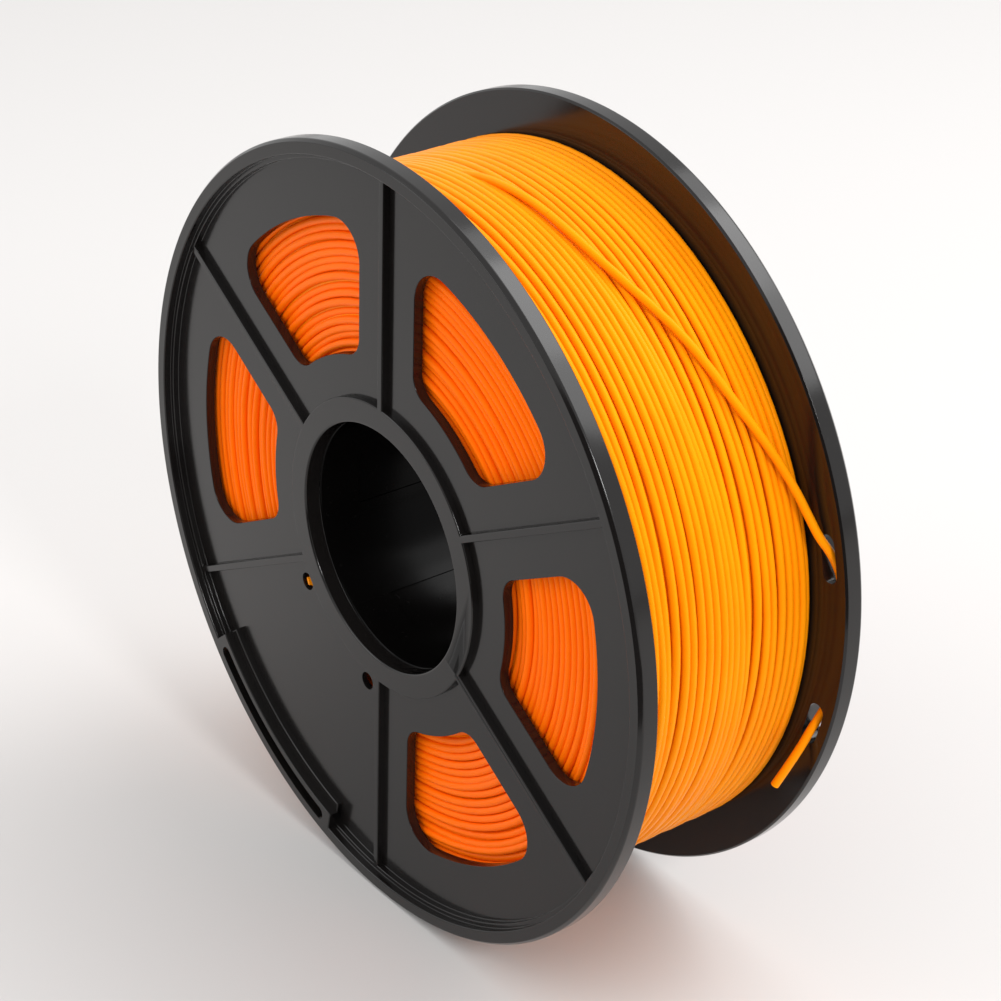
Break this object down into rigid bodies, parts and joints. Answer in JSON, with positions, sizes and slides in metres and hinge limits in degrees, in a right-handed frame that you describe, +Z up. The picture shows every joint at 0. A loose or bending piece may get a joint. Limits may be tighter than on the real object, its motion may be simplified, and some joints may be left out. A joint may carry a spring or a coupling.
{
  "type": "filament spool",
  "caption": "Round spool with two windowed flanges on a hollow core, wound full with thin plastic filament whose free end is clipped in one flange.",
  "frame": {"origin": "middle of the bore's axis, half way between the outer faces of the two flanges", "axes": "+Y along the bore's axis from the front flange to the rear one, +Z up as the spool stands on its rims, +X to the right seen from the front"},
  "size_m": [0.165, 0.054, 0.165],
  "materials": {
    "spool_plastic": "black injection-moulded plastic, satin on the open faces and glossy on edges and inside",
    "core_plastic": "black injection-moulded plastic, glossy",
    "filament": "bright orange extruded plastic filament, semi-gloss"
  },
  "bodies": {
    "root": {"front_flange": "spool_plastic", "rear_flange": "spool_plastic", "front_core": "core_plastic", "rear_core": "core_plastic", "filament_pack": "filament", "filament_top_layer": "filament", "filament_start": "filament", "filament_tail": "filament"}
  },
  "joints": []
}
